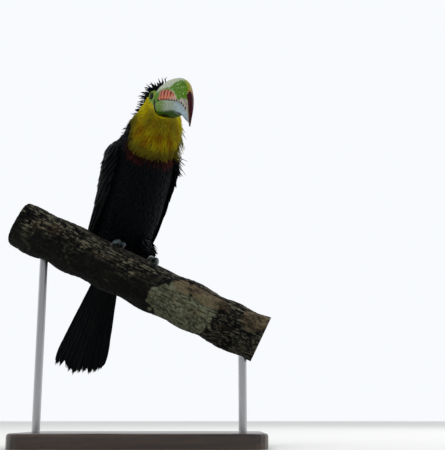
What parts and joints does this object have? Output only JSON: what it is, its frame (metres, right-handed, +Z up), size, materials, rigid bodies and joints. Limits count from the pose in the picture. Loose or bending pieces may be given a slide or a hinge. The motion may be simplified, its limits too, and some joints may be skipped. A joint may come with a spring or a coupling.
{
  "type": "keel-billed toucan",
  "caption": "Still life-size toucan model with a long arched green bill and yellow throat, gripping a cut length of branch held on a flat base by upright rods.",
  "frame": {"origin": "point on the flat underside of the display base, under the middle of the branch", "axes": "+Z up; the branch runs along X and falls towards +X; the bird faces -Y turned towards +X, its right side towards -X, its tail behind the branch at +Y"},
  "size_m": [0.3297, 0.3007, 0.4513],
  "materials": {
    "plumage": "soft overlapping feathers, black with a yellow throat and face, a red band, white rump and red vent",
    "foot_skin": "dry scaled blue-grey skin",
    "horn": "satin dark horn",
    "eye": "glossy dark eye",
    "bill": "smooth keratin, green with orange, pale blue and a maroon tip",
    "bark": "rough cracked bark with sawn ends",
    "stand_wood": "dark stained, satin",
    "stand_steel": "brushed"
  },
  "bodies": {
    "root": {"bill_lower": "bill", "bill_upper": "bill", "claw_left_inner_back": "horn", "claw_left_inner_front": "horn", "claw_left_outer_back": "horn", "claw_left_outer_front": "horn", "claw_right_inner_back": "horn", "claw_right_inner_front": "horn", "claw_right_outer_back": "horn", "claw_right_outer_front": "horn", "eye_left": "eye", "eye_right": "eye", "foot_left": "foot_skin", "foot_right": "foot_skin", "head": "plumage", "neck": "plumage", "perch": "bark", "stand_base": "stand_wood", "stand_rod_left": "stand_steel", "stand_rod_right": "stand_steel", "tail": "plumage", "thigh_left": "plumage", "thigh_right": "plumage", "trunk": "plumage", "wing_left": "plumage", "wing_right": "plumage"}
  },
  "joints": []
}
